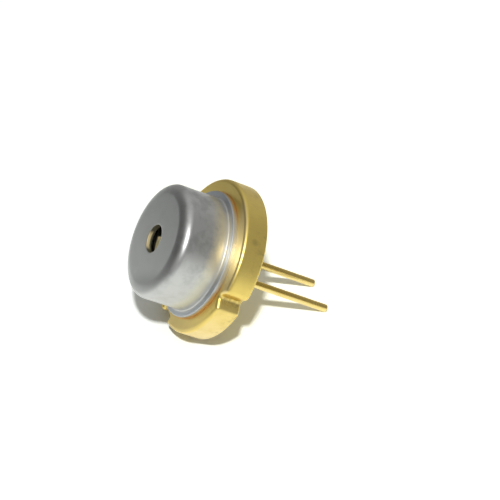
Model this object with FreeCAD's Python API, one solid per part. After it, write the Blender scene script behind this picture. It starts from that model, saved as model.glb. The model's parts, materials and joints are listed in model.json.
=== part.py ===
import FreeCAD, Part
import math
import os

# A two-lead laser diode in a 9 mm metal can. All lengths are in millimetres.
# Each piece is modelled upright: the light leaves along +Z, the stem's front face lies at z = 0
# and the two leads stand on the X axis. At the end the whole diode is laid down on its side,
# where it comes to rest on the stem's back edge and the tips of both leads.

# Stem: a coined disc with two V notches in line with the leads and one square key notch
stem_diameter = 9.0
stem_thickness = 1.45
front_edge_radius = 0.15
back_edge_chamfer = 0.08
side_notch_depth = 0.55
key_notch_width = 1.1
key_notch_depth = 0.45
rim_corner_radius = 0.22
notch_root_radius = 0.12

# Leads and the glass that seals them into the stem
lead_diameter = 0.45
lead_spacing = 2.54
lead_reach = 6.65
lead_end_radius = 0.08
lead_flat_depth = 0.12
lead_flat_start = 0.4
post_drop = 0.6
glass_seal_diameter = 1.0
meniscus_depth = 0.06

# Cap: drawn from one sheet, welded to the stem by its flange and open at the middle of its front
seat_width = 0.825
flange_width = 0.375
flange_edge_chamfer = 0.06
flange_bend_radius = 0.1
cap_height = 3.1
cap_sheet = 0.3
shoulder_radius = 0.55
aperture_diameter = 1.6
aperture_edge_chamfer = 0.03

# Window: a flat glass held behind the opening by a ring of solder glass
window_overlap = 0.7
window_thickness = 0.3
window_seal_thickness = 0.05
window_seal_setback = 0.15
window_seal_bead = 0.25

# Heat-sink block, brazed to the stem behind the leads
block_width = 2.2
block_edge_radius = 0.1
block_braze_thickness = 0.05
block_window_clearance = 0.3
block_cap_clearance = 0.5
block_seal_clearance = 0.1

# Submount with its solder and its two metal pads
submount_thickness = 0.3
submount_solder_thickness = 0.03
pad_thickness = 0.02
pad_margin = 0.04
pad_gap = 0.1
wire_pad_width = 0.3
chip_side_margin = 0.1

# Laser chip and protection diode, both soldered to the chip pad
chip_width = 0.24
chip_length = 1.0
chip_thickness = 0.1
chip_solder_thickness = 0.02
diode_side = 0.24
diode_thickness = 0.12
diode_gap = 0.06

# Gold bond wires
wire_diameter = 0.05
wire_sides = 6
wire_bend_cut = 0.06
wire_rise = 0.15
wire_pitch = 0.2
wires_per_group = 3
wire_edge_inset = 0.08

# Radii and places that follow from the sizes above
stem_radius = stem_diameter / 2
lead_radius = lead_diameter / 2
lead_offset = lead_spacing / 2
glass_seal_radius = glass_seal_diameter / 2
flange_radius = stem_radius - seat_width
cap_radius = flange_radius - flange_width
cap_bore_radius = cap_radius - cap_sheet
cap_underside = cap_height - cap_sheet
aperture_radius = aperture_diameter / 2
window_radius = aperture_radius + window_overlap
window_top = cap_underside - window_seal_thickness
window_bottom = window_top - window_thickness
block_top = window_bottom - block_window_clearance
block_back_radius = cap_bore_radius - block_cap_clearance
block_relief_radius = glass_seal_radius + block_seal_clearance
post_top = block_top - post_drop

# Centre of the rounded corner where the key notch breaks the rim, as distances from the can's axis
key_corner_x = key_notch_width / 2 + rim_corner_radius
key_corner_drop = math.sqrt((stem_radius - rim_corner_radius) ** 2 - key_corner_x**2)
key_floor_drop = stem_radius - key_notch_depth

# The chip's junction, its lower side, lies on the can's axis, so the stack is counted back from it
pad_face = -chip_solder_thickness
submount_face = pad_face - pad_thickness
submount_back = submount_face - submount_thickness
block_face = submount_back - submount_solder_thickness

# Edges of the pads across the submount, and heights of what is soldered to them
chip_pad_reach = max(chip_width, diode_side) / 2 + chip_side_margin
wire_pad_start = chip_pad_reach + pad_gap
wire_pad_end = wire_pad_start + wire_pad_width
submount_half_width = wire_pad_end + pad_margin
pad_top = block_top - pad_margin
chip_middle = pad_top - chip_length / 2
diode_middle = pad_top - chip_length - diode_gap - diode_side / 2
pad_bottom = diode_middle - diode_side / 2 - pad_margin
submount_bottom = pad_bottom - pad_margin


def point(x, y, z):
    return FreeCAD.Vector(x, y, z)


def rod(radius, low, high, x=0.0):
    """Upright cylinder between two heights, on the can's axis or beside it along X."""
    return Part.makeCylinder(radius, high - low, point(x, 0, low))


def box(x_range, y_range, z_range):
    low, high = zip(x_range, y_range, z_range)
    sides = [end - start for start, end in zip(low, high)]
    return Part.makeBox(*sides, point(*low))


def line(start, end):
    return Part.LineSegment(start, end).toShape()


def arc(start, middle, end):
    return Part.Arc(start, middle, end).toShape()


def closed(corners):
    """Straight edges from each corner to the next, and from the last back to the first."""
    return [line(*ends) for ends in zip(corners, corners[1:] + corners[:1])]


def bend(center_x, center_z, radius, start_degrees, end_degrees):
    """Arc in the XZ plane about a centre, between two angles counted from +X towards +Z."""
    on_arc = []
    for degrees in (start_degrees, (start_degrees + end_degrees) / 2, end_degrees):
        angle = math.radians(degrees)
        x = center_x + radius * math.cos(angle)
        z = center_z + radius * math.sin(angle)
        on_arc.append(point(x, 0, z))
    return arc(*on_arc)


def turned(edges, x=0.0):
    """Solid of revolution of a closed outline in the XZ plane, about the upright line through x."""
    return Part.Face(Part.Wire(edges)).revolve(point(x, 0, 0), point(0, 0, 1), 360)


def raised(edges, height):
    """Prism on a closed level outline."""
    return Part.Face(Part.Wire(edges)).extrude(point(0, 0, height))


def upright_edges(disc, on_rim):
    """The disc's straight upright edges: those on its rim, or else those inside its notches."""
    found = []
    for edge in disc.Edges:
        ends = [vertex.Point for vertex in edge.Vertexes]
        if len(ends) != 2 or math.hypot(ends[0].x - ends[1].x, ends[0].y - ends[1].y) > 1e-6:
            continue
        at_rim = abs(math.hypot(ends[0].x, ends[0].y) - stem_radius) < 1e-6
        if at_rim == on_rim:
            found.append(edge)
    return found


def side_notch(side):
    """Right-angled prism that cuts a V into the rim at one end of the X axis."""
    root = point(side * (stem_radius - side_notch_depth), 0, -stem_thickness)
    spread = 2 * side_notch_depth
    upper = root + point(side * spread, spread, 0)
    lower = root + point(side * spread, -spread, 0)
    return raised(closed([root, upper, lower]), stem_thickness)


def key_notch():
    half = key_notch_width / 2
    return box((-half, half), (-stem_diameter, -key_floor_drop), (-stem_thickness, 0))


def stem_base():
    disc = rod(stem_radius, -stem_thickness, 0)
    for cutter in (side_notch(1), side_notch(-1), key_notch()):
        disc = disc.cut(cutter)
    key_wall = key_corner_drop - key_floor_drop
    root_radius = min(notch_root_radius, 0.9 * key_wall)
    disc = disc.makeFillet(root_radius, upright_edges(disc, on_rim=False))
    disc = disc.makeFillet(rim_corner_radius, upright_edges(disc, on_rim=True))
    front = max(disc.Faces, key=lambda face: face.CenterOfMass.z)
    disc = disc.makeFillet(front_edge_radius, front.Edges)
    back = min(disc.Faces, key=lambda face: face.CenterOfMass.z)
    disc = disc.makeChamfer(back_edge_chamfer, back.Edges)
    for side in (-1, 1):
        disc = disc.cut(rod(glass_seal_radius, -stem_thickness, 0, side * lead_offset))
    return disc


def lead(side):
    """Round lead, rounded at its outer tip, with a flat on its inner post for the bond wires."""
    x = side * lead_offset
    tip = -stem_thickness - lead_reach
    pin = rod(lead_radius, tip, post_top, x)
    tip_edges = [edge for edge in pin.Edges if abs(edge.BoundBox.ZMax - tip) < 1e-6]
    pin = pin.makeFillet(lead_end_radius, tip_edges)
    x_range = (x - lead_radius, x + lead_radius)
    y_range = (lead_radius - lead_flat_depth, lead_radius)
    return pin.cut(box(x_range, y_range, (lead_flat_start, post_top)))


def glass_seal(side):
    """Glass sleeve between a lead and its hole, hollow at the back where it wets both of them."""
    x = side * lead_offset
    inner = x + lead_radius
    outer = x + glass_seal_radius
    back = -stem_thickness
    outline = [
        point(inner, 0, 0),
        point(outer, 0, 0),
        point(outer, 0, back),
        point((inner + outer) / 2, 0, back + meniscus_depth),
        point(inner, 0, back),
    ]
    return turned(closed(outline), x)


def cap_shell():
    """Drawn cap: flange, outward bend, straight wall, round shoulder and a pierced front."""
    bend_x = cap_radius + flange_bend_radius
    bend_z = cap_sheet + flange_bend_radius
    shoulder_x = cap_radius - shoulder_radius
    shoulder_z = cap_height - shoulder_radius
    flange_x = flange_radius - flange_edge_chamfer
    lip_x = aperture_radius + aperture_edge_chamfer
    foot = [
        point(cap_bore_radius, 0, bend_z),
        point(bend_x, 0, 0),
        point(flange_radius, 0, 0),
        point(flange_radius, 0, cap_sheet - flange_edge_chamfer),
        point(flange_x, 0, cap_sheet),
        point(bend_x, 0, cap_sheet),
    ]
    front = [
        point(shoulder_x, 0, cap_height),
        point(lip_x, 0, cap_height),
        point(aperture_radius, 0, cap_height - aperture_edge_chamfer),
        point(aperture_radius, 0, cap_underside),
        point(shoulder_x, 0, cap_underside),
        point(cap_bore_radius, 0, shoulder_z),
    ]
    edges = [
        *[line(*ends) for ends in zip(foot, foot[1:])],
        bend(bend_x, bend_z, flange_bend_radius, 270, 180),
        line(point(cap_radius, 0, bend_z), point(cap_radius, 0, shoulder_z)),
        bend(shoulder_x, shoulder_z, shoulder_radius, 0, 90),
        *[line(*ends) for ends in zip(front, front[1:])],
        line(front[-1], foot[0]),
    ]
    return turned(edges)


def window_glass():
    return rod(window_radius, window_bottom, window_top)


def window_seal():
    """Ring of solder glass: a thin layer above the window and a sloping bead around its edge."""
    bead = min(window_seal_bead, window_thickness)
    inner = aperture_radius + window_seal_setback
    outline = [
        point(inner, 0, cap_underside),
        point(inner, 0, window_top),
        point(window_radius, 0, window_top),
        point(window_radius, 0, window_top - bead),
        point(window_radius + bead, 0, cap_underside),
    ]
    return turned(closed(outline))


def block_prism(low, high):
    """The heat-sink block's plan, raised between two heights: a flat front, a round back, and
    hollows at the front corners that keep it clear of both glass seals."""
    half = block_width / 2
    back = -math.sqrt(block_back_radius**2 - half**2)
    front_corners = [point(-half, block_face, low), point(half, block_face, low)]
    back_corners = [point(half, back, low), point(-half, back, low)]
    edges = [
        line(front_corners[0], front_corners[1]),
        line(front_corners[1], back_corners[0]),
        arc(back_corners[0], point(0, -block_back_radius, low), back_corners[1]),
        line(back_corners[1], front_corners[0]),
    ]
    prism = raised(edges, high - low)
    for side in (-1, 1):
        prism = prism.cut(rod(block_relief_radius, low, high, side * lead_offset))
    return prism


def heatsink_block():
    block = block_prism(block_braze_thickness, block_top)
    top = max(block.Faces, key=lambda face: face.CenterOfMass.z)
    behind_leads = [edge for edge in top.Edges if edge.CenterOfMass.y < -block_relief_radius]
    return block.makeFillet(block_edge_radius, behind_leads)


def block_braze():
    return block_prism(0, block_braze_thickness)


def submount_layer(y_range):
    x_range = (-submount_half_width, submount_half_width)
    return box(x_range, y_range, (submount_bottom, block_top))


def submount_solder():
    return submount_layer((block_face, submount_back))


def submount():
    return submount_layer((submount_back, submount_face))


def chip_pad():
    return box((-wire_pad_end, chip_pad_reach), (submount_face, pad_face), (pad_bottom, pad_top))


def wire_pad():
    return box((wire_pad_start, wire_pad_end), (submount_face, pad_face), (pad_bottom, pad_top))


def on_chip_pad(width, length, middle, y_range):
    """Upright block on the chip pad, centred across the can's axis."""
    return box((-width / 2, width / 2), y_range, (middle - length / 2, middle + length / 2))


def chip_solder():
    return on_chip_pad(chip_width, chip_length, chip_middle, (pad_face, 0))


def laser_chip():
    return on_chip_pad(chip_width, chip_length, chip_middle, (0, chip_thickness))


def diode_solder():
    return on_chip_pad(diode_side, diode_side, diode_middle, (pad_face, 0))


def protection_diode():
    return on_chip_pad(diode_side, diode_side, diode_middle, (0, diode_thickness))


def bond_wire(start, end):
    """Wire that leaves one face along +Y, runs level above the higher of both faces, and comes
    down to stand on the other. Both of its corners are bent in two steps."""
    crest = max(start.y, end.y) + wire_rise
    up = point(0, wire_bend_cut, 0)
    along = point(end.x - start.x, 0, end.z - start.z).normalize() * wire_bend_cut
    rise = point(start.x, crest, start.z)
    fall = point(end.x, crest, end.z)
    path = [start, rise - up, rise + along, fall - along, fall - up, end]
    section = []
    for n in range(wire_sides):
        angle = 2 * math.pi * n / wire_sides
        reach = wire_diameter / 2
        section.append(start + point(reach * math.cos(angle), 0, reach * math.sin(angle)))
    mitred = 1
    return Part.Wire([line(*ends) for ends in zip(path, path[1:])]).makePipeShell(
        [Part.Wire(closed(section))], True, False, mitred
    )


def wire_heights(middle):
    """Heights of a group of wires, one pitch apart about the group's middle."""
    first = middle - (wires_per_group - 1) / 2 * wire_pitch
    return [first + n * wire_pitch for n in range(wires_per_group)]


def chip_wires():
    landing = wire_pad_start + wire_edge_inset
    wires = []
    for z in wire_heights(chip_middle):
        wires.append(bond_wire(point(0, chip_thickness, z), point(landing, pad_face, z)))
    return Part.makeCompound(wires)


def diode_wire():
    start = point(0, diode_thickness, diode_middle)
    return bond_wire(start, point(wire_pad_start + wire_edge_inset, pad_face, diode_middle))


def lead_wires(side):
    """Wires from the outer edge of a pad to the flat on the nearer lead's post."""
    leaving = side * (wire_pad_end - wire_edge_inset)
    landing = side * lead_offset
    group_height = (wires_per_group - 1) * wire_pitch
    wires = []
    for z in wire_heights(post_top - wire_edge_inset - group_height / 2):
        end = point(landing, lead_radius - lead_flat_depth, z)
        wires.append(bond_wire(point(leaving, pad_face, z), end))
    return Part.makeCompound(wires)


def rest_tilt():
    """Degrees by which the light axis rises above level when the diode lies at rest.

    The stem stands on the rounded corners of its key notch, where the back chamfer begins, and
    the leads on their rounded tips. With A the height of the leads' tip circle above the corner's
    lowest line while the diode is upright on edge, and B their distance along the axis, both
    touch one level when A cos(tilt) - B sin(tilt) equals the tip's radius.
    """
    across = key_corner_drop + rim_corner_radius - (lead_radius - lead_end_radius)
    along = lead_reach - lead_end_radius + back_edge_chamfer
    tilt = math.atan2(across, along) - math.asin(lead_end_radius / math.hypot(across, along))
    return math.degrees(tilt)


def lay_down(pieces):
    """Turn every piece to the rest pose, centred over the origin with its lowest point at z = 0."""
    turn = FreeCAD.Rotation(point(1, 0, 0), 90 - rest_tilt())
    for shape in pieces.values():
        shape.Placement = FreeCAD.Placement(point(0, 0, 0), turn)
    extent = Part.makeCompound(list(pieces.values())).optimalBoundingBox(False, False)
    for shape in pieces.values():
        shape.translate(point(-extent.Center.x, -extent.Center.y, -extent.ZMin))


pieces = {
    "stem_base": stem_base(),
    "lead_positive": lead(-1),
    "lead_negative": lead(1),
    "glass_seal_positive": glass_seal(-1),
    "glass_seal_negative": glass_seal(1),
    "cap_shell": cap_shell(),
    "window_seal": window_seal(),
    "window_glass": window_glass(),
    "block_braze": block_braze(),
    "heatsink_block": heatsink_block(),
    "submount_solder": submount_solder(),
    "submount": submount(),
    "chip_pad": chip_pad(),
    "wire_pad": wire_pad(),
    "chip_solder": chip_solder(),
    "laser_chip": laser_chip(),
    "diode_solder": diode_solder(),
    "protection_diode": protection_diode(),
    "chip_wires": chip_wires(),
    "diode_wire": diode_wire(),
    "lead_wires_positive": lead_wires(-1),
    "lead_wires_negative": lead_wires(1),
}
lay_down(pieces)

os.makedirs("parts", exist_ok=True)
for name, shape in pieces.items():
    shape.exportStep(f"parts/{name}.step")
    print(f"{name}: {shape.Volume:.4f} mm3, valid {shape.isValid()}")
print(f"light axis at rest: {rest_tilt():.3f} degrees above level")
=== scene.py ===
import json
import math
import bpy
import numpy as np
from mathutils import Matrix, Vector


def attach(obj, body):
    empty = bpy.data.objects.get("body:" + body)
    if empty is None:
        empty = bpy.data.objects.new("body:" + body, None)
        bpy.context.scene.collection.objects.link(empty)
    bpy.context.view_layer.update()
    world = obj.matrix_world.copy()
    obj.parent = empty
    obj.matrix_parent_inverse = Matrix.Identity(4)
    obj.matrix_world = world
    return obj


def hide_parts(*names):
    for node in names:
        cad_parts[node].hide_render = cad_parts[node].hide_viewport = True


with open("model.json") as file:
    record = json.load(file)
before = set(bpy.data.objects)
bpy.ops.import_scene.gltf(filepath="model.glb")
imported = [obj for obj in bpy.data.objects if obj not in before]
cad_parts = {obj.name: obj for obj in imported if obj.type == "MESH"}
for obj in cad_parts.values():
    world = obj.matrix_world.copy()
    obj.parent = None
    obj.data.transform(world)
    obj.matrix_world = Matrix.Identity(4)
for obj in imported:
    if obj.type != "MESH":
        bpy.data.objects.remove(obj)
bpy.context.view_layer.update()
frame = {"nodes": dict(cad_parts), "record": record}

print("frame loaded:", len(frame["nodes"]), "nodes")

# The can's own frame: x runs along the line of leads, z along the light, y completes the two.
# Its origin is the middle of the stem's front face. Sizes below are millimetres in this frame.
mounts = {mount["name"]: mount for mount in frame["record"]["mounts"]}
metresPerMm = 0.001
lightAxis = np.array(mounts["light_exit"]["axis"])
leadLine = np.array([1.0, 0.0, 0.0])
canBasis = np.array([leadLine, np.cross(lightAxis, leadLine), lightAxis])


def spot(mountName):
    # Position of a mount, in metres
    return np.array(mounts[mountName]["pos_m"])


def heightBetween(lowMount, highMount):
    # Distance along the light axis from one mount to another, in millimetres
    return (spot(highMount) - spot(lowMount)) @ lightAxis / metresPerMm


stemRadius = mounts["stem_rim"]["dims"]["r_mm"]
stemThickness = heightBetween("back_face", "front_seat")
capHeight = heightBetween("front_seat", "light_exit")
leadStep = spot("lead_negative_end") - spot("lead_positive_end")
leadOffset = leadStep @ leadLine / metresPerMm / 2
canOrigin = spot("light_exit") - lightAxis * capHeight * metresPerMm


def toWorld(points):
    # world point = origin + x * lead line + y * rise + z * light axis
    return canOrigin + points @ canBasis * metresPerMm


def weld(points, faces):
    # Points closer than a ten-thousandth of a millimetre become one
    keys = np.round(points * 1e4).astype(np.int64)
    _, first, index = np.unique(keys, axis=0, return_index=True, return_inverse=True)
    return points[first], index.reshape(-1)[faces]


def stripSlivers(quads):
    # A quad with two equal corners in a row becomes a triangle, and one with fewer corners goes
    same = quads == np.roll(quads, -1, axis=1)
    count = same.sum(1)
    whole = quads[count == 0]
    tris = []
    for corner in range(4):
        rows = quads[(count == 1) & same[:, corner]]
        tris.append(np.delete(rows, corner, axis=1))
    tris = np.concatenate(tris)
    distinct = (tris[:, 0] != tris[:, 1]) & (tris[:, 1] != tris[:, 2]) & (tris[:, 2] != tris[:, 0])
    return whole, tris[distinct]


def signedVolume(points, faces):
    # Sum of the tetrahedra between the origin and each triangle
    a, b, c = (points[faces[:, k]] for k in range(3))
    return np.einsum("ij,ij->i", a, np.cross(b, c)).sum() / 6


def addObject(name, data):
    # A new object at the origin, linked to the scene
    made = bpy.data.objects.new(name, data)
    bpy.context.scene.collection.objects.link(made)
    return made


def meshFromGrids(name, grids, material, sharpDegrees=32):
    # Each grid of points (rows, columns, xyz) becomes quads; all grids are welded into one skin
    points, quads, start = [], [], 0
    for grid in grids:
        rows, columns = grid.shape[:2]
        index = start + np.arange(rows * columns).reshape(rows, columns)
        corners = (index[:-1, :-1], index[:-1, 1:], index[1:, 1:], index[1:, :-1])
        quads.append(np.stack([corner.reshape(-1) for corner in corners], axis=1))
        points.append(grid.reshape(-1, 3))
        start += rows * columns
    points, quads = weld(np.concatenate(points), np.concatenate(quads))
    whole, tris = stripSlivers(quads)
    halves = np.concatenate([whole[:, :3], whole[:, [0, 2, 3]], tris])
    if signedVolume(points, halves) < 0:
        whole, tris = whole[:, ::-1], tris[:, ::-1]
    mesh = bpy.data.meshes.new(name)
    mesh.from_pydata(toWorld(points).tolist(), [], whole.tolist() + tris.tolist())
    place = mesh.attributes.new("place", "FLOAT_VECTOR", "POINT")
    place.data.foreach_set("vector", points.astype(np.float32).ravel())
    mesh.polygons.foreach_set("use_smooth", np.ones(len(mesh.polygons), bool))
    mesh.set_sharp_from_angle(angle=math.radians(sharpDegrees))
    mesh.materials.append(material)
    mesh.update()
    return addObject(name, mesh)


def arcPoints(centre, radius, fromDegrees, toDegrees, count):
    # point = centre + radius * (cos, sin) of evenly spaced angles
    angle = np.radians(np.linspace(fromDegrees, toDegrees, count))
    return np.stack([centre[0] + radius * np.cos(angle), centre[1] + radius * np.sin(angle)], 1)


def turnProfile(profile, columns, middle=0.0):
    # Profile of (radius, height) turned about an upright line at x = middle, closed at its seam
    angle = np.linspace(0, 2 * math.pi, columns + 1)
    angle[-1] = 0.0
    radius, height = profile[:, 0:1], profile[:, 1:2]
    x = middle + radius * np.cos(angle)
    y = radius * np.sin(angle)
    return np.stack([x, y, np.broadcast_to(height, x.shape)], axis=2)


def dress(piece, slotName, *nodeNames):
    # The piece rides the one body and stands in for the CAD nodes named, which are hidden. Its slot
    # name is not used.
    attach(piece, "root")
    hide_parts(*nodeNames)


class Finish:
    # A material with a short way to add and join its nodes
    def __init__(self, name):
        self.material = bpy.data.materials.new(name)
        self.material.use_nodes = True
        self.tree = self.material.node_tree
        self.shader = self.tree.nodes["Principled BSDF"]

    def node(self, kind, inputs=None, **settings):
        # A new node with its settings made and its inputs fed
        made = self.tree.nodes.new(kind)
        for key, value in settings.items():
            setattr(made, key, value)
        for key, value in (inputs or {}).items():
            self.feed(made.inputs[key], value)
        return made

    def feed(self, socket, value):
        # A link where the value is another node's output, else the socket's own value
        if isinstance(value, bpy.types.NodeSocket):
            self.tree.links.new(value, socket)
        else:
            socket.default_value = value

    def calc(self, operation, *values):
        # One Math operation on the values
        made = self.node("ShaderNodeMath", operation=operation)
        for socket, value in zip(made.inputs, values):
            self.feed(socket, value)
        return made.outputs[0]

    def times(self, product, *factors):
        # product * factor * factor ...
        for factor in factors:
            product = self.calc("MULTIPLY", product, factor)
        return product

    def weighed(self, values, weights):
        # First value * first weight + second value * second weight
        return self.calc("ADD", *(self.times(*pair) for pair in zip(values, weights)))

    def ramp(self, value, low, high, fromValue=0.0, toValue=1.0):
        # Smooth step of value between low and high, out from fromValue to toValue
        made = self.node("ShaderNodeMapRange", interpolation_type="SMOOTHSTEP")
        for socket, entry in zip(made.inputs, (value, low, high, fromValue, toValue)):
            self.feed(socket, entry)
        return made.outputs[0]

    def mix(self, factor, first, second):
        # Colour = first * (1 - factor) + second * factor
        made = self.node("ShaderNodeMix", data_type="RGBA")
        sockets = (made.inputs[0], made.inputs[6], made.inputs[7])
        for socket, entry in zip(sockets, (factor, first, second)):
            self.feed(socket, entry)
        return made.outputs[2]

    def mixNumber(self, factor, first, second):
        # Number = first * (1 - factor) + second * factor
        made = self.node("ShaderNodeMix")
        sockets = (made.inputs[0], made.inputs[2], made.inputs[3])
        for socket, entry in zip(sockets, (factor, first, second)):
            self.feed(socket, entry)
        return made.outputs[0]

    def noise(self, vector, scale, detail=3.0, roughness=0.55, stretch=(1, 1, 1)):
        # Cloudy value of about 0 to 1 at vector * stretch; a larger stretch makes it finer
        moved = self.node("ShaderNodeMapping", {"Vector": vector, "Scale": stretch})
        made = self.node("ShaderNodeTexNoise", {
            "Vector": moved.outputs[0], "Scale": scale, "Detail": detail, "Roughness": roughness})
        return made.outputs[0]

    def place(self, fromObject):
        # Place in millimetres: the piece's own attribute, or Object coordinates on a CAD node
        if not fromObject:
            return self.node("ShaderNodeAttribute", attribute_name="place").outputs["Vector"]
        coordinates = self.node("ShaderNodeTexCoord").outputs["Object"]
        perMetre = (1 / metresPerMm,) * 3
        ends = {0: coordinates, 1: perMetre}
        return self.node("ShaderNodeVectorMath", ends, operation="MULTIPLY").outputs[0]

    def parts(self, vector):
        # x, y and z of a vector, and its distance from the can's axis
        split = self.node("ShaderNodeSeparateXYZ", {0: vector})
        x, y, z = split.outputs
        return x, y, z, self.calc("SQRT", self.weighed((x, y), (x, y)))

    def towards(self, vector, degrees):
        # Distance from the can's axis measured along one direction round it
        aim = (math.cos(math.radians(degrees)), math.sin(math.radians(degrees)), 0.0)
        along = self.node("ShaderNodeVectorMath", {0: vector, 1: aim}, operation="DOT_PRODUCT")
        return along.outputs["Value"]

    def bump(self, height, depthMm):
        # Tilts the shading as if the surface rose by height * depth
        made = self.node("ShaderNodeBump", {
            "Strength": 1.0, "Distance": depthMm * metresPerMm, "Height": height})
        self.feed(self.shader.inputs["Normal"], made.outputs[0])


def rgb(red, green, blue):
    # An opaque colour
    return (red, green, blue, 1.0)


# Smooth steps that turn a noise into a share, for colours and for roughness
cloudStep, roughStep = (0.35, 0.65), (0.3, 0.7)

# In the gold and nickel looks, bands and marks, a tuple is a smooth step: from, to, and the
# values at both ends where they aren't 0 and 1. The exceptions are colours, weights, a centre
# and an aim. Lengths there are millimetres in the can's own frame.
goldPlate = {
    "pale": rgb(0.855, 0.69, 0.325), "paleAcross": (-3.0, 1.0, 1.0, 0.0),
    "paleAlong": (-0.25, -0.1, 1.0, 0.15),
    "deep": rgb(0.87, 0.665, 0.185),
    "olive": rgb(0.74, 0.565, 0.17), "olivePatches": (0.45, 0.68),
    "oliveAlong": (-0.2, -0.05, 0.45, 0.1), "oliveInside": 0.6,
    "stain": rgb(0.30, 0.22, 0.08),
    "orange": rgb(0.72, 0.42, 0.13),
    "bright": rgb(0.96, 0.80, 0.45),
    "low": rgb(0.52, 0.40, 0.16),
    "mottleScale": 1.5, "streakScale": 3.0, "grainScale": 15,
    "patchWeights": (0.65, 0.35), "roughWeights": (0.5, 0.5), "bumpWeights": (0.6, 0.4),
    "roughLow": 0.34, "roughHigh": 0.44, "grainMm": 0.0005,
}


def goldFinish(name, look=goldPlate, fromObject=False, streak=(9, 9, 0.7), marks=None):
    # Gold plating, paler low on the side wall as a painted reflection of the bright floor below,
    # deeper above and in front, with olive patches, fine streaks and a soft grain. The streaks run
    # along the light axis unless streak says otherwise. The marks it may carry: a painted highlight
    # on the front towards one direction with painted shade on the front low down, a handling mark,
    # scuffs that grow towards the back with a darker speckle deep in the notches, an orange weld
    # ring left out near one direction as painted highlight, and painted shade on the upper side.
    marks = marks or {}
    made = Finish(name)
    place = made.place(fromObject)
    _, y, z, radius = made.parts(place)
    mottle = made.noise(place, look["mottleScale"], detail=4, roughness=0.6)
    streaks = made.noise(place, look["streakScale"], detail=2, stretch=streak)
    grain = made.noise(place, look["grainScale"], detail=2)
    blend = made.weighed((mottle, streaks), look["patchWeights"])
    colour = look["deep"]
    if not fromObject:
        # Painted reflection of the bright floor: the side wall is paler gold low down
        paintedFloorSheen = made.times(made.ramp(y, *look["paleAcross"]), made.ramp(z, *look["paleAlong"]))
        colour = made.mix(paintedFloorSheen, colour, look["pale"])
    share = look["oliveInside"] if fromObject else made.ramp(z, *look["oliveAlong"])
    patches = made.times(made.ramp(blend, *look["olivePatches"]), share)
    colour = made.mix(patches, colour, look["olive"])
    # Painted highlight on the front towards one direction, and painted shade on the front low down
    if "polish" in marks:
        polish = marks["polish"]
        front = made.ramp(z, *polish["front"])
        aimed = made.towards(place, polish["degrees"])
        rubbed = made.times(front, made.ramp(aimed, *polish["rubbed"]))
        colour = made.mix(made.times(rubbed, polish["amount"]), colour, look["bright"])
        colour = made.mix(made.times(front, made.ramp(y, *polish["dulled"])), colour, look["low"])
    if "smudge" in marks:
        smudge = marks["smudge"]
        ends = {0: place, 1: smudge["centre"]}
        apart = made.node("ShaderNodeVectorMath", ends, operation="DISTANCE").outputs["Value"]
        ragged = made.calc("ADD", apart, made.times(mottle, smudge["ragged"]))
        colour = made.mix(made.ramp(ragged, *smudge["spread"]), colour, look["stain"])
    if "wear" in marks:
        wear = marks["wear"]
        scuffs = made.noise(place, wear["scuffScale"], detail=6, roughness=0.7)
        offBack = made.ramp(z, *wear["offBack"])
        behind = made.times(offBack, made.ramp(z, *wear["along"]))
        scuffed = made.times(made.ramp(scuffs, *wear["scuffs"]), behind)
        colour = made.mix(scuffed, colour, look["stain"])
        # A darker speckle deep in the notches, away from the front face
        notch = made.times(made.ramp(radius, *wear["notch"]), made.ramp(z, *wear["notchAlong"]))
        grit = made.noise(place, wear["gritScale"], detail=4, roughness=0.7)
        notchSpeckle = made.times(made.ramp(grit, *wear["grit"]), notch, offBack)
        colour = made.mix(notchSpeckle, colour, look["stain"])
    # The weld ring is orange, left out near one direction as painted highlight
    if "weldRing" in marks:
        ring = marks["weldRing"]
        aimed = made.towards(place, ring["degrees"])
        tinted = made.times(made.ramp(z, *ring["front"]), made.ramp(aimed, *ring["aimed"]))
        around = made.times(tinted, made.ramp(radius, *ring["ring"]))
        colour = made.mix(around, colour, look["orange"])
    # Painted shade on the upper side, darker nearer the stem
    if "tarnish" in marks:
        tarnish = marks["tarnish"]
        upper = made.times(made.ramp(y, *tarnish["upper"]), made.ramp(z, *tarnish["along"]))
        colour = made.mix(upper, colour, look["tarnish"])
    made.feed(made.shader.inputs["Base Color"], colour)
    made.shader.inputs["Metallic"].default_value = 1.0
    uneven = made.weighed((grain, mottle), look["roughWeights"])
    rough = made.ramp(uneven, *roughStep, look["roughLow"], look["roughHigh"])
    made.feed(made.shader.inputs["Roughness"], rough)
    made.bump(made.weighed((streaks, grain), look["bumpWeights"]), look["grainMm"])
    return made.material


# A coined disc with two V notches and a square key notch
stemSizes = {
    "radius": stemRadius, "thickness": stemThickness,
    "frontRound": 0.22, "backRound": 0.11,
    "vDepth": 0.55, "vRoot": 0.24, "vUpper": 0.42, "vLower": 0.22,
    "keyWidth": 1.1, "keyDepth": 0.45, "keyCorner": 0.22, "keyRoot": 0.12,
    "sealRadius": 0.5, "sealOffset": leadOffset,
}


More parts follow.
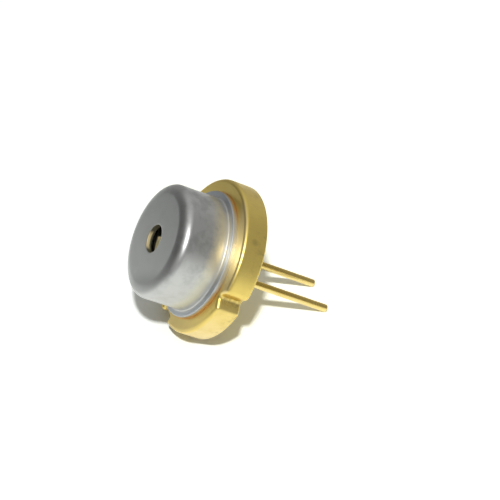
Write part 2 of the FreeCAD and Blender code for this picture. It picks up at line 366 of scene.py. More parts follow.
def stemOutline(sizes):
    # Right half of the rim from the key notch round to the top, as points and outward normals.
    # An arc point is centre + radius * normal, where the radius is negative in a hollow corner.
    # A line holds its ends and its normal's angle, an arc its centre, radius and angles, and
    # both end with their number of points.
    rim, corner, root = sizes["radius"], sizes["keyCorner"], sizes["keyRoot"]
    half, floor = sizes["keyWidth"] / 2, sizes["radius"] - sizes["keyDepth"]
    keyX = half + corner
    keyY = -math.sqrt((rim - corner) ** 2 - keyX ** 2)
    keyAngle = math.degrees(math.atan2(keyY, keyX))
    vTip = rim - sizes["vDepth"]

    def vCorner(rounding):
        # Centre of a corner that touches the rim from inside and the V's side, y = x - vTip. The
        # centre lies on y = x + slope.
        slope = rounding * math.sqrt(2) - vTip
        x = (-slope + math.sqrt(2 * (rim - rounding) ** 2 - slope ** 2)) / 2
        return x, x + slope, math.degrees(math.atan2(x + slope, x)), rounding / math.sqrt(2)

    lowerX, lowerY, lowerAngle, lowerStep = vCorner(sizes["vLower"])
    upperX, upperY, upperAngle, upperStep = vCorner(sizes["vUpper"])
    hollow, hollowStep = vTip + sizes["vRoot"] * math.sqrt(2), sizes["vRoot"] / math.sqrt(2)
    pieces = [
        ("line", (0, -floor), (half - root, -floor), -90, 14),
        ("arc", (half - root, -floor - root), -root, 270, 180, 9),
        ("line", (half, -floor - root), (half, keyY), 180, 3),
        ("arc", (keyX, keyY), corner, 180, 360 + keyAngle, 12),
        ("arc", (0, 0), rim, keyAngle, -lowerAngle, 96),
        ("arc", (lowerX, -lowerY), sizes["vLower"], -lowerAngle, 45, 10),
        ("line", (lowerX + lowerStep, lowerStep - lowerY),
         (hollow - hollowStep, -hollowStep), 45, 9),
        ("arc", (hollow, 0), -sizes["vRoot"], 45, -45, 13),
        ("line", (hollow - hollowStep, hollowStep),
         (upperX + upperStep, upperY - upperStep), -45, 7),
        ("arc", (upperX, upperY), sizes["vUpper"], -45, upperAngle, 14),
        ("arc", (0, 0), rim, upperAngle, 90, 100),
    ]
    points, normals = [], []
    for kind, first, second, *rest in pieces:
        if kind == "line":
            angle, count = rest
            share = np.linspace(0, 1, count)[:, None]
            points.append(np.array(first) * (1 - share) + np.array(second) * share)
            turn = np.full(count, math.radians(angle))
        else:
            start, end, count = rest
            turn = np.radians(np.linspace(start, end, count))
            points.append(np.array(first) + second * np.stack([np.cos(turn), np.sin(turn)], 1))
        normals.append(np.stack([np.cos(turn), np.sin(turn)], 1))
    points, normals = np.concatenate(points), np.concatenate(normals)
    points[[0, -1], 0] = 0.0
    normals[[0, -1], 0] = 0.0
    return points, normals


def stemGrids(sizes):
    # The outline moved inwards by each step of an edge profile of (inset, height), two flat
    # faces with a hole for the seal, and the hole's wall; the left half mirrors the right
    points, normals = stemOutline(sizes)
    front, back, thick = sizes["frontRound"], sizes["backRound"], sizes["thickness"]
    frontArc = arcPoints((front, -front), front, 90, 180, 9)
    backArc = arcPoints((back, back - thick), back, 180, 270, 6)
    wall = np.stack([np.zeros(9), np.linspace(-front, back - thick, 9)], 1)[1:-1]
    profile = np.concatenate([frontArc, wall, backArc])
    profile[np.abs(profile) < 1e-12] = 0.0
    inset, level = profile[:, 0][:, None, None], profile[:, 1][:, None, None]
    flat = points[None] - normals[None] * inset
    flat[:, [0, -1], 0] = 0.0
    edge = np.concatenate([flat, np.broadcast_to(level, flat.shape[:2] + (1,))], axis=2)

    centre = np.array([sizes["sealOffset"], 0.0])
    share = np.linspace(0, 1, 15)[:, None, None] ** 0.8
    downSteps = 58

    def faceGrid(rim, height):
        # Straight rays from the seal hole's rim to the half disc's outline, at one height. Each
        # step's share of the way is its even share to the power 0.8.
        down = np.linspace(rim[-1, 1], rim[0, 1], downSteps + 2)[1:-1]
        loop = np.concatenate([rim, np.stack([np.zeros(downSteps), down], 1), rim[:1]])
        away = loop - centre
        hole = centre + sizes["sealRadius"] * away / np.linalg.norm(away, axis=1, keepdims=True)
        flatGrid = hole[None] * (1 - share) + loop[None] * share
        flatGrid[-1] = loop
        return np.concatenate([flatGrid, np.full(flatGrid.shape[:2] + (1,), height)], axis=2)

    frontFace = faceGrid(edge[0, :, :2], 0.0)
    backFace = faceGrid(edge[-1, :, :2], -thick)
    depth = np.linspace(0, 1, 8)[:, None, None]
    holeWall = frontFace[0][None] * (1 - depth) + backFace[0][None] * depth
    right = [edge, frontFace[:, ::-1], backFace, holeWall]
    left = [grid[:, ::-1] * np.array([-1, 1, 1]) for grid in right]
    return right + left


# In the first mark a highlight on the front towards 38 degrees is painted, and shade is painted on
# the front low down
stemMarks = {
    "polish": {"degrees": 38, "amount": 0.6, "front": (-0.12, -0.04), "rubbed": (2.9, 3.7),
               "dulled": (-4.2, -1.2, 0.7, 0.0)},
    "smudge": {"centre": (3.10, 3.27, -0.7), "ragged": 0.4, "spread": (0.22, 0.50, 0.35, 0.0)},
    "wear": {"scuffScale": 1.6, "scuffs": (0.50, 0.68), "along": (-0.45, -1.2, 0.0, 0.30),
             "offBack": (-1.44, -1.38), "gritScale": 6, "grit": (0.38, 0.56),
             "notch": (4.0, 4.42, 0.55, 0.0), "notchAlong": (-0.3, -0.15, 1.0, 0.0)},
    "weldRing": {"degrees": 38, "front": (-0.1, -0.02), "aimed": (2.9, 3.6, 0.9, 0.1),
                 "ring": (3.69, 3.80, 1.0, 0.0)},
}
stemGold = goldFinish("stemGold", marks=stemMarks)
stemPiece = meshFromGrids("stem_body", stemGrids(stemSizes), stemGold)
dress(stemPiece, "stem_gold", "stem_base")
print("stem:", len(stemPiece.data.polygons), "faces")


leadSizes = {
    "radius": 0.225, "offset": leadOffset, "reach": 6.65, "top": 1.55, "tipRound": 0.08,
    "flatDepth": 0.12, "flatStart": 0.4, "flatStep": 0.001,
}


def leadGrid(sizes, side):
    # A turned rod with a rounded tip. From flatStep above flatStart its y is capped, which cuts
    # the bond flat.
    radius, rounding, flat = sizes["radius"], sizes["tipRound"], sizes["flatStart"]
    tip = -stemThickness - sizes["reach"]
    tipArc = arcPoints((radius - rounding, tip + rounding), rounding, 270, 360, 8)
    heights = np.concatenate([
        np.linspace(tip + rounding, flat, 60)[1:],
        [flat + sizes["flatStep"]],
        np.linspace(flat, sizes["top"], 8)[1:]])
    rod = np.stack([np.full(len(heights), radius), heights], 1)
    profile = np.concatenate([[[0.0, tip], [0.5 * (radius - rounding), tip]], tipArc, rod,
                              [[0.5 * radius, sizes["top"]], [0.0, sizes["top"]]]])
    grid = turnProfile(profile, 64, side * sizes["offset"])
    above = profile[:, 1] > flat + sizes["flatStep"] / 2
    grid[above, :, 1] = np.minimum(grid[above, :, 1], radius - sizes["flatDepth"])
    return grid


sealSizes = {"inner": leadSizes["radius"], "outer": stemSizes["sealRadius"],
             "back": -stemThickness, "hollow": 0.06}


def sealGrid(sizes, side):
    # Closed ring: flat in front; behind, a hollow meniscus as deep as a half sine to the power 0.8
    share = np.linspace(0, 1, 17)
    radius = sizes["inner"] + (sizes["outer"] - sizes["inner"]) * share
    hollow = sizes["back"] + sizes["hollow"] * np.sin(math.pi * share) ** 0.8
    hollow[[0, -1]] = sizes["back"]
    behind = np.stack([radius, hollow], 1)[::-1]
    rise = np.linspace(sizes["back"], 0, 5)[1:]
    inner = np.stack([np.full(4, sizes["inner"]), rise], 1)
    outer = np.stack([np.full(4, sizes["outer"]), rise[::-1]], 1)
    profile = np.concatenate([behind, inner, outer, behind[:1]])
    return turnProfile(profile, 72, side * leadSizes["offset"])


# For the leads the upper side gets a darker colour as painted shade
drawnWire = dict(goldPlate, pale=rgb(0.92, 0.76, 0.36), deep=rgb(0.90, 0.72, 0.30),
                 tarnish=rgb(0.62, 0.41, 0.068), roughLow=0.20, roughHigh=0.30, grainMm=0.0002)
leadMarks = {"tarnish": {"upper": (-0.02, 0.12), "along": (-8.1, -2.5, 0.55, 0.95)}}
leadGold = goldFinish("leadGold", drawnWire, streak=(16, 16, 0.35), marks=leadMarks)


sealLook = {
    "dark": rgb(0.035, 0.045, 0.04), "pale": rgb(0.09, 0.11, 0.10), "bubble": rgb(0.16, 0.19, 0.17),
    "cloudScale": 6, "bubbleScale": 22.0, "bubbles": (0.05, 0.16), "rough": (0.08, 0.2),
    "pitMm": 0.002,
}


def sealGlassFinish(look):
    # Dark fired glass with a faint mottle and tiny bubbles
    made = Finish("sealGlass")
    place = made.place(False)
    cloud = made.noise(place, look["cloudScale"], detail=3)
    colour = made.mix(made.ramp(cloud, *cloudStep), look["dark"], look["pale"])
    bubbles = made.node("ShaderNodeTexVoronoi", {"Vector": place, "Scale": look["bubbleScale"]})
    pit = made.ramp(bubbles.outputs["Distance"], *look["bubbles"])
    made.feed(made.shader.inputs["Base Color"], made.mix(pit, look["bubble"], colour))
    made.feed(made.shader.inputs["Roughness"], made.ramp(cloud, *roughStep, *look["rough"]))
    made.bump(pit, look["pitMm"])
    return made.material


sealGlass = sealGlassFinish(sealLook)
for side, word in ((-1, "positive"), (1, "negative")):
    lead = meshFromGrids("lead_rod_" + word, [leadGrid(leadSizes, side)], leadGold)
    dress(lead, "lead_gold", "lead_" + word)
    seal = meshFromGrids("seal_ring_" + word, [sealGrid(sealSizes, side)], sealGlass)
    dress(seal, "seal_glass", "glass_seal_" + word)
print("leads and seals made")


capSizes = {
    "radius": 3.3, "height": capHeight, "sheet": 0.3,
    "shoulderAcross": 0.74, "shoulderDown": 0.55,
    "flange": 3.675, "flangeRound": 0.06, "bend": 0.1,
    "aperture": 0.8, "lipRound": 0.035,
}


def capGrid(sizes):
    # One closed profile, outside from the flange up to the aperture and back down inside, turned
    # about the axis. The shoulder is a quarter ellipse, centre + (across cos, down sin), and the
    # flange meets the wall in a small arc.
    bend, sheet, height = sizes["bend"], sizes["sheet"], sizes["height"]
    across, down = sizes["shoulderAcross"], sizes["shoulderDown"]
    shoulderX, shoulderZ = sizes["radius"] - across, height - down
    bore, under = sizes["radius"] - sheet, height - sheet
    bendX, bendZ = sizes["radius"] + bend, sheet + bend
    roundX, roundZ = sizes["flange"] - sizes["flangeRound"], sheet - sizes["flangeRound"]
    lipX, lipZ = sizes["aperture"] + sizes["lipRound"], height - sizes["lipRound"]
    wallOut = np.stack([np.full(26, sizes["radius"]), np.linspace(bendZ, shoulderZ, 26)], 1)[1:-1]
    shoulder = arcPoints((0, 0), 1, 0, 90, 29) * (across, down) + (shoulderX, shoulderZ)
    hollow = (across - sheet, down - sheet)
    inner = arcPoints((0, 0), 1, 90, 0, 10) * hollow + (shoulderX, shoulderZ)
    faceOut = np.stack([np.linspace(shoulderX, lipX, 18), np.full(18, height)], 1)[1:-1]
    profile = np.concatenate([
        [[bendX, 0.0], [0.5 * (bendX + sizes["flange"]), 0.0], [sizes["flange"], 0.0],
         [sizes["flange"], 0.5 * roundZ]],
        arcPoints((roundX, roundZ), sizes["flangeRound"], 0, 90, 7),
        [[0.5 * (roundX + bendX), sheet]],
        arcPoints((bendX, bendZ), bend, 270, 180, 10),
        wallOut, shoulder, faceOut,
        arcPoints((lipX, lipZ), sizes["lipRound"], 90, 180, 6),
        [[sizes["aperture"], 0.5 * (lipZ + under)], [sizes["aperture"], under]],
        [[0.5 * (sizes["aperture"] + shoulderX), under]],
        inner,
        [[bore, 0.5 * (shoulderZ + bendZ)]],
        arcPoints((bendX, bendZ), bend + sheet, 180, 270, 9),
    ])
    profile[-1] = profile[0]
    return turnProfile(profile, 288)


# Of these colours, foot and flangeBright are painted reflection and highlight, inside is the
# opening's painted golden reflection, and dusk its painted shade and darker depth
nickelLook = {
    "side": rgb(0.575, 0.575, 0.565), "front": rgb(0.50, 0.505, 0.50),
    "dull": rgb(0.43, 0.44, 0.42), "under": rgb(0.325, 0.325, 0.32),
    "straw": rgb(0.68, 0.66, 0.49), "foot": rgb(0.93, 0.86, 0.66),
    "flange": rgb(0.50, 0.525, 0.56), "flangeBright": rgb(0.60, 0.625, 0.66),
    "edge": rgb(0.62, 0.43, 0.23), "inside": rgb(0.95, 0.78, 0.42), "dusk": rgb(0.13, 0.12, 0.07),
    "rough": 0.385, "footRough": 0.46, "flangeRough": 0.50,
    "mottleScale": 1.3, "grainScale": 34, "drawnScale": 4.0, "textureMm": 0.0007,
    "strawAmount": 0.4, "wobbleMm": 0.7, "unevenRough": 0.14, "goldenRough": 0.2,
    "bumpWeights": (0.4, 0.35),
}
nickelBands = {
    "blotches": (0.42, 0.70), "blotchDegrees": 70, "blotchAimed": (-1.0, 2.8, 0.35, 0.9),
    "strawStart": (0.4, 0.75), "strawEnd": (0.9, 1.45, 1.0, 0.0),
    "brightDegrees": 42, "brightAimed": (2.35, 3.2, 0.0, 0.6), "footEnd": (0.75, 1.45, 1.0, 0.0),
    "flange": (3.38, 3.46, 0.0, 0.9), "edgeRim": (3.64, 3.665), "edgeTop": (0.12, 0.20, 1.0, 0.0),
    "edgeDegrees": 38, "edgeAimed": (2.6, 3.4, 1.0, 0.1),
    "front": (2.6, 3.1, 1.0, 0.0), "frontBlotches": (0.4, 0.75, 0.0, 0.4),
    "underDegrees": -52, "underAimed": (1.7, 2.7, 0.0, 0.85), "underHeight": (2.84, 3.03),
    "wallInside": (3.04, 3.12, 1.0, 0.0), "roofInside": (2.78, 2.86, 1.0, 0.0),
    "bore": (0.81, 0.825, 1.0, 0.0), "boreAim": (-0.77, -0.64),
    "boreAimed": (0.56, 0.76, 1.0, 0.0), "boreDepth": (2.88, 2.94, 1.0, 0.0),
    "footRough": (0.3, 1.2), "flangeRough": (3.38, 3.46),
}


def capFinish(look, bands):
    # Satin nickel with darker blotches and a faint straw heat tint above the weld, with a painted
    # golden reflection on the foot of the wall towards one direction, and darker on the lower part
    # of the front. The flange is bluish with a painted highlight towards that same direction and a
    # golden cut edge, left out near one direction as painted highlight. The inside of the can is
    # dull, and the opening's wall is painted golden as a reflection of the lit inside, with painted
    # shade on its shaded side and darker deeper in.
    made = Finish("capNickel")
    place = made.place(False)
    x, y, z, radius = made.parts(place)
    mottle = made.noise(place, look["mottleScale"], detail=4, roughness=0.6)
    grain = made.noise(place, look["grainScale"], detail=2)
    drawn = made.noise(place, look["drawnScale"], detail=2, stretch=(6, 6, 0.5))

    def aimed(word):
        # Smooth step of the distance from the axis towards one direction round it
        return made.ramp(made.towards(place, bands[word + "Degrees"]), *bands[word + "Aimed"])

    blotches = made.times(made.ramp(mottle, *bands["blotches"]), aimed("blotch"))
    side = made.mix(blotches, look["side"], look["dull"])
    wobble = made.times(made.calc("SUBTRACT", mottle, 0.5), look["wobbleMm"])
    level = made.calc("ADD", z, wobble)
    warm = made.times(made.ramp(level, *bands["strawStart"]), made.ramp(level, *bands["strawEnd"]))
    side = made.mix(made.times(warm, look["strawAmount"]), side, look["straw"])
    # Painted highlight towards one direction: a golden reflection on the foot of the wall and a
    # brighter flange
    bright = aimed("bright")
    side = made.mix(made.times(bright, made.ramp(level, *bands["footEnd"])), side, look["foot"])
    flange = made.mix(bright, look["flange"], look["flangeBright"])
    side = made.mix(made.ramp(radius, *bands["flange"]), side, flange)
    # The cut edge's golden colour is left out near one direction as painted highlight
    onEdge = made.times(made.ramp(radius, *bands["edgeRim"]), made.ramp(z, *bands["edgeTop"]))
    side = made.mix(made.times(onEdge, aimed("edge")), side, look["edge"])
    front = made.mix(made.ramp(mottle, *bands["frontBlotches"]), look["front"], look["dull"])
    colour = made.mix(made.ramp(radius, *bands["front"]), side, front)
    beneath = made.times(aimed("under"), made.ramp(z, *bands["underHeight"]))
    colour = made.mix(beneath, colour, look["under"])
    # The can's inside is dull; the opening's wall is painted golden as a reflection of the lit
    # inside, with painted shade on its shaded side and darker deeper in
    inCan = made.times(made.ramp(radius, *bands["wallInside"]), made.ramp(z, *bands["roofInside"]))
    inHole = made.ramp(radius, *bands["bore"])
    golden = made.calc("MAXIMUM", inCan, inHole)
    slant = made.weighed((x, y), bands["boreAim"])
    turned, deep = made.ramp(slant, *bands["boreAimed"]), made.ramp(z, *bands["boreDepth"])
    dusky = made.times(inHole, made.calc("MAXIMUM", turned, deep))
    inside = made.mix(dusky, made.mix(inCan, look["inside"], look["dull"]), look["dusk"])
    made.feed(made.shader.inputs["Base Color"], made.mix(golden, colour, inside))
    made.feed(made.shader.inputs["Metallic"], made.ramp(golden, 0, 1, 1.0, 0.3))
    fine = made.times(made.calc("SUBTRACT", grain, 0.5), look["unevenRough"])
    wall = made.ramp(z, *bands["footRough"], look["footRough"], look["rough"])
    wall = made.mixNumber(made.ramp(radius, *bands["flangeRough"]), wall, look["flangeRough"])
    rough = made.calc("ADD", wall, fine)
    rough = made.calc("ADD", rough, made.times(golden, look["goldenRough"]))
    made.feed(made.shader.inputs["Roughness"], rough)
    made.bump(made.weighed((drawn, grain), look["bumpWeights"]), look["textureMm"])
    return made.material


nickel = capFinish(nickelLook, nickelBands)
capPiece = meshFromGrids("cap_can", [capGrid(capSizes)], nickel)
dress(capPiece, "cap_metal", "cap_shell")
print("cap:", len(capPiece.data.polygons), "faces")


def spanOf(nodeName):
    # Lowest and highest corners of a CAD node in the can's own frame
    mesh = frame["nodes"][nodeName].data
    flat = np.zeros(3 * len(mesh.vertices))
    mesh.vertices.foreach_get("co", flat)
    points = (flat.reshape(-1, 3) - canOrigin) @ canBasis.T / metresPerMm
    return points.min(0), points.max(0)


# A half-round heat block; the other inner pieces keep their CAD shapes
blockLow, blockHigh = spanOf("heatsink_block")
blockSizes = {"round": 1.6, "face": blockHigh[1], "low": blockLow[2], "high": blockHigh[2],
              "relief": 0.55, "bevel": 0.07}


def blockOutline(sizes):
    # Plan of the block: flat front, a hollow arc round each lead's seal, and a round back
    offset, relief, face, back = leadOffset, sizes["relief"], sizes["face"], sizes["round"]
    frontX = offset - math.sqrt(relief ** 2 - face ** 2)
    cornerX = (offset ** 2 + back ** 2 - relief ** 2) / (2 * offset)
    cornerY = -math.sqrt(back ** 2 - cornerX ** 2)
    fromAngle = math.degrees(math.atan2(face, frontX - offset))
    toAngle = math.degrees(math.atan2(cornerY, cornerX - offset))
    hollow = arcPoints((offset, 0), relief, fromAngle, toAngle, 12)
    corner = math.degrees(math.atan2(cornerY, cornerX))
    return np.concatenate([hollow, arcPoints((0, 0), back, corner, -180 - corner, 60)[1:-1],
                           hollow[::-1] * (-1, 1)])


def solidFromPlan(name, plan, low, high, bevel, material):
    # The plan raised between two heights, with every edge bevelled
    count = len(plan)
    points = np.concatenate([np.insert(plan, 2, level, axis=1) for level in (low, high)])
    here = np.arange(count)
    after = (here + 1) % count
    sides = np.stack([here, here + count, after + count, after], 1)
    mesh = bpy.data.meshes.new(name)
    ends = [here.tolist(), (here[::-1] + count).tolist()]
    mesh.from_pydata(toWorld(points).tolist(), [], sides.tolist() + ends)
    mesh.materials.append(material)
    piece = addObject(name, mesh)
    rounding = piece.modifiers.new("rounding", "BEVEL")
    rounding.width, rounding.segments = bevel * metresPerMm, 3
    rounding.limit_method, rounding.angle_limit = "ANGLE", math.radians(30)
    rounding.use_clamp_overlap = False
    return piece


windowLook = {
    "clear": rgb(0.96, 0.98, 0.97), "hazy": rgb(0.91, 0.95, 0.96), "hazeScale": 3,
    "sheen": rgb(0.75, 0.85, 0.95), "sheenRough": 0.03, "sheenIndex": 1.14,
}


def windowFinish(look):
    # Clear thin window: light passes straight through with a faint tint. On the side a ray
    # enters, a coated sheen takes the share that Fresnel's formula gives for a low index.
    made = Finish("windowGlass")
    haze = made.noise(made.place(True), look["hazeScale"], detail=2)
    tint = made.mix(haze, look["clear"], look["hazy"])
    clear = made.node("ShaderNodeBsdfTransparent", {"Color": tint})
    sheen = made.node("ShaderNodeBsdfGlossy", {
        "Color": look["sheen"], "Roughness": look["sheenRough"]})
    mirrored = made.node("ShaderNodeFresnel", {"IOR": look["sheenIndex"]}).outputs[0]
    leaving = made.node("ShaderNodeNewGeometry").outputs["Backfacing"]
    entering = made.calc("SUBTRACT", 1.0, leaving)
    share = made.times(mirrored, entering)
    both = made.node("ShaderNodeMixShader", {0: share, 1: clear.outputs[0], 2: sheen.outputs[0]})
    made.feed(made.tree.nodes["Material Output"].inputs["Surface"], both.outputs[0])
    made.tree.nodes.remove(made.shader)
    return made.material


def mineralFinish(name, low, high, scale, roughness, metallic=0.0, depthMm=0.001):
    # Fine cloudy solid: two close colours, a little roughness change and a slight texture
    made = Finish(name)
    place = made.place(True)
    cloud = made.noise(place, scale, detail=4)
    made.feed(made.shader.inputs["Base Color"], made.mix(made.ramp(cloud, *cloudStep), low, high))
    made.feed(made.shader.inputs["Roughness"], made.ramp(cloud, *roughStep, *roughness))
    made.shader.inputs["Metallic"].default_value = metallic
    made.bump(cloud, depthMm)
    return made.material


blockLook = dict(goldPlate, deep=rgb(0.96, 0.73, 0.38), olive=rgb(0.92, 0.66, 0.32),
                 roughLow=0.45, roughHigh=0.6)
blockGold = goldFinish("blockGold", blockLook, fromObject=True, streak=(10, 3, 3))
# Not metallic, so the block shows the light that falls on it rather than what it would mirror
blockGold.node_tree.nodes["Principled BSDF"].inputs["Metallic"].default_value = 0.0
padGold = goldFinish("padGold", drawnWire, fromObject=True)

# Name, low and high colour, scale of the cloud, low and high roughness, then where they aren't
# 0 and 0.001 the metallic share and the depth of the texture in millimetres
minerals = {
    "window_seal": ("solderGlass", (0.10, 0.11, 0.10), (0.17, 0.18, 0.16), 9, (0.4, 0.6)),
    "block_braze": ("brazeMetal", (0.66, 0.63, 0.55), (0.76, 0.73, 0.65), 12, (0.3, 0.5), 1.0),
    "submount_solder": ("solderMetal", (0.60, 0.59, 0.56), (0.72, 0.71, 0.68), 20, (0.2, 0.4), 1.0),
    "submount": ("submountCeramic", (0.70, 0.69, 0.64), (0.82, 0.81, 0.77), 30, (0.5, 0.7)),
    "laser_chip": (
        "chipCrystal", (0.10, 0.11, 0.13), (0.17, 0.18, 0.21), 16, (0.08, 0.2), 0.0, 0.0002),
    "protection_diode": (
        "diodeCrystal", (0.08, 0.09, 0.11), (0.14, 0.15, 0.18), 16, (0.1, 0.25), 0.0, 0.0002),
}
innerFinishes = {"window_glass": windowFinish(windowLook)}
for nodeName, (finishName, low, high, *rest) in minerals.items():
    innerFinishes[nodeName] = mineralFinish(finishName, rgb(*low), rgb(*high), *rest)
for nodeName in ("chip_pad", "wire_pad", "chip_wires", "diode_wire",
                 "lead_wires_positive", "lead_wires_negative"):
    innerFinishes[nodeName] = padGold
innerFinishes["chip_solder"] = innerFinishes["diode_solder"] = innerFinishes["submount_solder"]
blockPiece = solidFromPlan("heat_block", blockOutline(blockSizes), blockSizes["low"],
                           blockSizes["high"], blockSizes["bevel"], blockGold)
dress(blockPiece, "block_gold", "heatsink_block")
for nodeName, finish in innerFinishes.items():
    node = frame["nodes"][nodeName]
    node.data.materials.clear()
    node.data.materials.append(finish)
print("inner finishes:", len(innerFinishes))


# Lengths and places of the floor are metres
floorLook = {
    "half": 1.5, "steps": 9, "colour": rgb(0.875, 0.90, 0.875), "fibre": rgb(0.86, 0.885, 0.86),
    "far": rgb(0.20, 0.20, 0.20), "fadeFrom": 0.050, "fadeTo": 0.110,
    "warm": rgb(0.985, 1.0, 0.885), "warmFrom": -0.0035, "warmTo": 0.0005,
    "gain": 2.05, "mirrorGain": 2.0, "mirrorFrom": 0.008, "mirrorTo": 0.090,
}


def seenShare(tree):
    # 1 for what is looked at directly, in metal or through glass, and 0 for what only lights the
    # floor, straight or by way of the metal
    path = tree.nodes.new("ShaderNodeLightPath")
    total = path.outputs["Is Camera Ray"]
    steps = (("Is Glossy Ray", "ADD"), ("Is Transmission Ray", "ADD"),
             ("Diffuse Depth", "SUBTRACT"))
    for output, operation in steps:
        step = tree.nodes.new("ShaderNodeMath")
        step.operation, step.use_clamp = operation, True
        tree.links.new(total, step.inputs[0])
        tree.links.new(path.outputs[output], step.inputs[1])
        total = step.outputs[0]
    return total


def floorPiece(look):
    # A level grid at z = 0: pale matte paper. What is looked at, directly, in metal or through
    # glass, has its colour multiplied by a gain to reach white. The camera sees all of it warmer
    # from the stem on towards +Y, a painted warm bounce light from the gold, and everything else
    # sees it grey away from the part.
    line = np.linspace(-look["half"], look["half"], look["steps"])
    x, y = np.meshgrid(line, line, indexing="ij")
    points = np.stack([x, y, np.zeros_like(x)], 2).reshape(-1, 3)
    index = np.arange(look["steps"] ** 2).reshape(look["steps"], look["steps"])
    corners = (index[:-1, :-1], index[1:, :-1], index[1:, 1:], index[:-1, 1:])
    mesh = bpy.data.meshes.new("floor")
    mesh.from_pydata(points.tolist(), [], np.stack([c.ravel() for c in corners], 1).tolist())
    made = Finish("floorPaper")
    place = made.node("ShaderNodeTexCoord").outputs["Object"]
    colour = made.mix(made.noise(place, 900), look["colour"], look["fibre"])
    away = made.node("ShaderNodeVectorMath", {0: place}, operation="LENGTH").outputs["Value"]
    direct = made.node("ShaderNodeLightPath").outputs["Is Camera Ray"]
    indirect = made.calc("SUBTRACT", 1.0, direct)
    fade = made.times(made.ramp(away, look["fadeFrom"], look["fadeTo"]), indirect)
    colour = made.mix(fade, colour, look["far"])
    # Painted warm bounce light from the gold: the camera sees the ground warmer from the stem on
    # towards +Y
    sideways = made.node("ShaderNodeSeparateXYZ", {0: place}).outputs["Y"]
    bounceTint = made.times(made.ramp(sideways, look["warmFrom"], look["warmTo"]), direct)
    colour = made.mix(bounceTint, colour, look["warm"])
    mirrorGain = made.ramp(away, look["mirrorFrom"], look["mirrorTo"], look["mirrorGain"], 1.0)
    more = made.calc("SUBTRACT", look["gain"], mirrorGain)
    seenGain = made.calc("ADD", mirrorGain, made.times(direct, more))
    lift = made.times(seenShare(made.tree), made.calc("SUBTRACT", seenGain, 1.0))
    gain = made.calc("ADD", 1.0, lift)
    bright = made.node("ShaderNodeVectorMath", {0: colour, "Scale": gain}, operation="SCALE")
    matte = made.node("ShaderNodeBsdfDiffuse", {"Color": bright.outputs[0], "Roughness": 0.0})
    made.feed(made.tree.nodes["Material Output"].inputs["Surface"], matte.outputs[0])
    made.tree.nodes.remove(made.shader)
    mesh.materials.append(made.material)
    return addObject("floor", mesh)


floorPiece(floorLook)


def direction(azimuth, elevation):
    # Unit vector towards a compass azimuth, counted from -Y towards +X, and an elevation
    a, e = math.radians(azimuth), math.radians(elevation)
    return Vector((math.sin(a) * math.cos(e), -math.cos(a) * math.cos(e), math.sin(e)))


# A lamp's energy = radiance * pi * area
lamps = {
    "key_box": {"azimuth": 75.5, "elevation": 53, "distance": 1.0, "size": (0.06, 0.06),
                "radiance": 470},
}
for lampName, lamp in lamps.items():
    light = bpy.data.lights.new(lampName, "AREA")
    light.shape = "RECTANGLE"
    light.size, light.size_y = lamp["size"]
    light.energy = lamp["radiance"] * math.pi * lamp["size"][0] * lamp["size"][1]
    holder = addObject(lampName, light)
    away = direction(lamp["azimuth"], lamp["elevation"])
    holder.location = away * lamp["distance"]
    holder.rotation_mode = "QUATERNION"
    holder.rotation_quaternion = away.to_track_quat("Z", "Y")

# The room's grey level, and regions that pull it towards a level of their own: each is full
# within the inner angle of its middle and gone beyond the outer one
skyLevel = 0.33
# Share of the sky that reaches matte surfaces, which keeps the shadow deep
skyOnFloor = 0.42
skyRegions = [
    {"azimuth": -110, "elevation": 68, "inner": 22, "outer": 50, "level": 0.58},
    {"azimuth": 178, "elevation": 65, "inner": 8, "outer": 26, "level": 0.52},
    {"azimuth": -136, "elevation": 12, "inner": 12, "outer": 36, "level": 0.50},
    {"azimuth": -20, "elevation": 20, "inner": 25, "outer": 56, "level": 0.12},
    {"azimuth": 60, "elevation": 64, "inner": 12, "outer": 34, "level": 0.80},
]


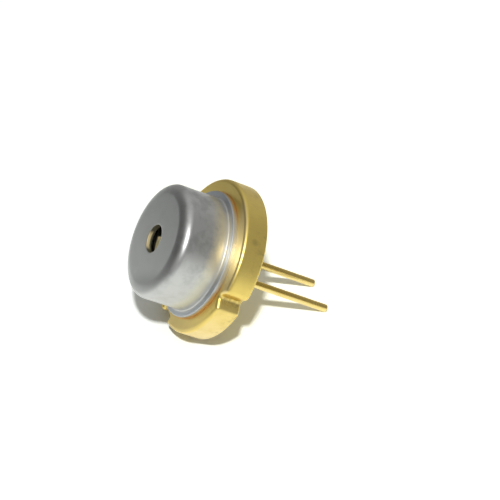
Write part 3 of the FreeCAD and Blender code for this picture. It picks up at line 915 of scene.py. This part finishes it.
def buildSky(level, regions):
    # Strength = the level, pulled towards each region's own by a smooth step of the cosine of the
    # angle to its middle; matte surfaces get skyOnFloor of it, and the camera sees plain white
    world = bpy.data.worlds.new("studioSky")
    bpy.context.scene.world = world
    world.use_nodes = True
    tree = world.node_tree
    heading = tree.nodes.new("ShaderNodeTexCoord").outputs["Generated"]
    total = level
    for region in regions:
        dot = tree.nodes.new("ShaderNodeVectorMath")
        dot.operation = "DOT_PRODUCT"
        tree.links.new(heading, dot.inputs[0])
        dot.inputs[1].default_value = direction(region["azimuth"], region["elevation"])
        share = tree.nodes.new("ShaderNodeMapRange")
        share.interpolation_type = "SMOOTHSTEP"
        tree.links.new(dot.outputs["Value"], share.inputs[0])
        share.inputs[1].default_value = math.cos(math.radians(region["outer"]))
        share.inputs[2].default_value = math.cos(math.radians(region["inner"]))
        mixed = tree.nodes.new("ShaderNodeMix")
        tree.links.new(share.outputs[0], mixed.inputs[0])
        if isinstance(total, float):
            mixed.inputs[2].default_value = total
        else:
            tree.links.new(total, mixed.inputs[2])
        mixed.inputs[3].default_value = region["level"]
        total = mixed.outputs[0]
    unseen = tree.nodes.new("ShaderNodeMapRange")
    tree.links.new(seenShare(tree), unseen.inputs[0])
    unseen.inputs[3].default_value = skyOnFloor
    strength = tree.nodes.new("ShaderNodeMath")
    strength.operation = "MULTIPLY"
    tree.links.new(total, strength.inputs[0])
    tree.links.new(unseen.outputs[0], strength.inputs[1])
    looked = tree.nodes.new("ShaderNodeLightPath").outputs["Is Camera Ray"]
    seen = tree.nodes.new("ShaderNodeMix")
    tree.links.new(looked, seen.inputs[0])
    tree.links.new(strength.outputs[0], seen.inputs[2])
    seen.inputs[3].default_value = 1.0
    background = tree.nodes["Background"]
    tree.links.new(seen.outputs[0], background.inputs["Strength"])
    background.inputs["Color"].default_value = rgb(1.0, 1.0, 1.0)


buildSky(skyLevel, skyRegions)
bpy.context.scene.view_settings.view_transform = "Standard"

cameraPlace = {
    "azimuth": 77.70, "elevation": 35.34, "roll": -2.74, "distance": 0.1107,
    "lens": 142.92, "sensor": 36.0, "aimRight": 0.02446, "aimUp": 0.00249,
    "near": 0.001, "far": 20.0,
}


def placeCamera(look):
    # Stands off from the stem's front along azimuth and elevation, and looks a little beside it
    back = direction(look["azimuth"], look["elevation"])
    level = Vector((0, 0, 1)).cross(back).normalized()
    upright = back.cross(level)
    roll = math.radians(look["roll"])
    right = level * math.cos(roll) + upright * math.sin(roll)
    up = upright * math.cos(roll) - level * math.sin(roll)
    middle = Vector(canOrigin)
    stand = middle + back * look["distance"]
    target = middle + (right * look["aimRight"] + up * look["aimUp"]) * look["distance"]
    behind = (stand - target).normalized()
    across = up.cross(behind).normalized()
    above = behind.cross(across)
    camera = bpy.data.cameras.new("camera")
    camera.lens, camera.sensor_width = look["lens"], look["sensor"]
    camera.clip_start, camera.clip_end = look["near"], look["far"]
    holder = addObject("camera", camera)
    turn = Matrix((across, above, behind)).transposed().to_4x4()
    holder.matrix_world = Matrix.Translation(stand) @ turn
    bpy.context.scene.camera = holder


placeCamera(cameraPlace)
print("stage set")
